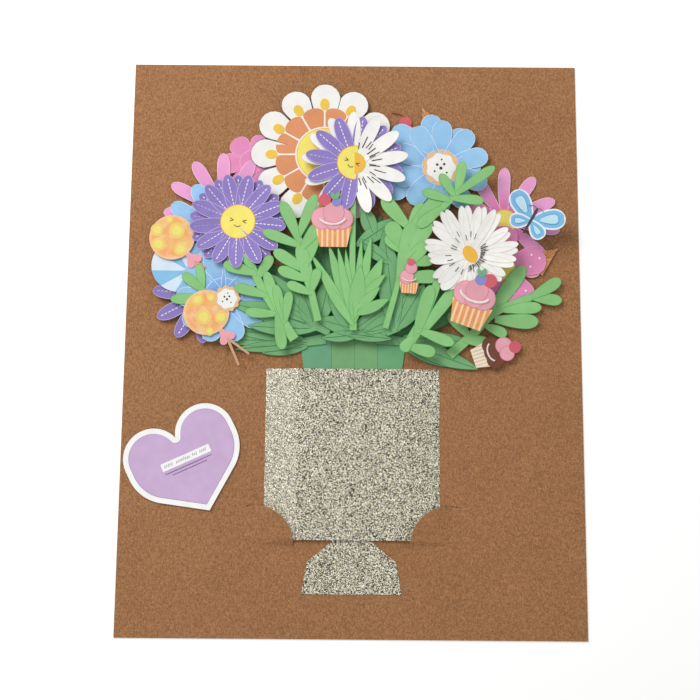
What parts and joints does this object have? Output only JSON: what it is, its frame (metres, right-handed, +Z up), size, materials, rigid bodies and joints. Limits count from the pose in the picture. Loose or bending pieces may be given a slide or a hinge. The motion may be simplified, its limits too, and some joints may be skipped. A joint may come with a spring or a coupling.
{
  "type": "pop up card",
  "caption": "Pop up flower card folded flat: die-cut paper flowers and leaves in a glitter paper vase, held by slits in a kraft backing card, with a heart tag.",
  "frame": {"origin": "centre of the backing card on its underside, the bottom centre of the bounding box", "axes": "+X to the right and +Y to the top of the bouquet as the card is looked at, +Z up out of the card"},
  "size_m": [0.2, 0.254, 0.0084],
  "materials": {
    "kraft_card": "matt fibrous kraft card",
    "glitter_paper": "coarse silver-gold glitter on paper",
    "green_paper": "matt printed green paper",
    "dark_green_paper": "matt printed deep green paper",
    "tag_paper": "white card printed lilac",
    "purple_paper": "matt printed purple paper",
    "white_paper": "matt white paper",
    "pink_paper": "matt printed pink paper",
    "blue_paper": "matt printed light blue paper",
    "print_paper": "matt paper printed in several colours"
  },
  "bodies": {
    "root": {"backing_card": "kraft_card", "balloon_lower": "print_paper", "balloon_upper": "print_paper", "blue_daisy_left": "blue_paper", "blue_daisy_left_upper": "blue_paper", "blue_daisy_right": "blue_paper", "blue_daisy_right_under": "blue_paper", "butterfly": "blue_paper", "cherry": "print_paper", "collar": "dark_green_paper", "cone_right": "print_paper", "cone_top": "print_paper", "cupcake_centre": "print_paper", "cupcake_chocolate": "print_paper", "cupcake_right": "print_paper", "cupcake_small": "print_paper", "fan_centre": "green_paper", "heart_tag": "tag_paper", "leaves_back": "dark_green_paper", "leaves_centre": "dark_green_paper", "leaves_centre_right": "dark_green_paper", "leaves_left": "dark_green_paper", "leaves_low_left": "dark_green_paper", "leaves_low_right": "dark_green_paper", "magenta_flower_left": "pink_paper", "magenta_flower_right": "pink_paper", "pink_daisy_left": "pink_paper", "pink_daisy_right": "pink_paper", "purple_daisy_centre": "purple_paper", "purple_daisy_left": "purple_paper", "purple_daisy_left_under": "purple_paper", "purple_daisy_low_left": "purple_paper", "retro_daisy": "white_paper", "sprig_centre_left": "green_paper", "sprig_centre_right": "green_paper", "sprig_far_left": "green_paper", "sprig_far_right": "green_paper", "sprig_left": "green_paper", "sprig_right": "green_paper", "sprig_top_right": "green_paper", "striped_ball": "print_paper", "vase": "glitter_paper", "white_daisy_centre": "white_paper", "white_daisy_right": "white_paper"}
  },
  "joints": []
}
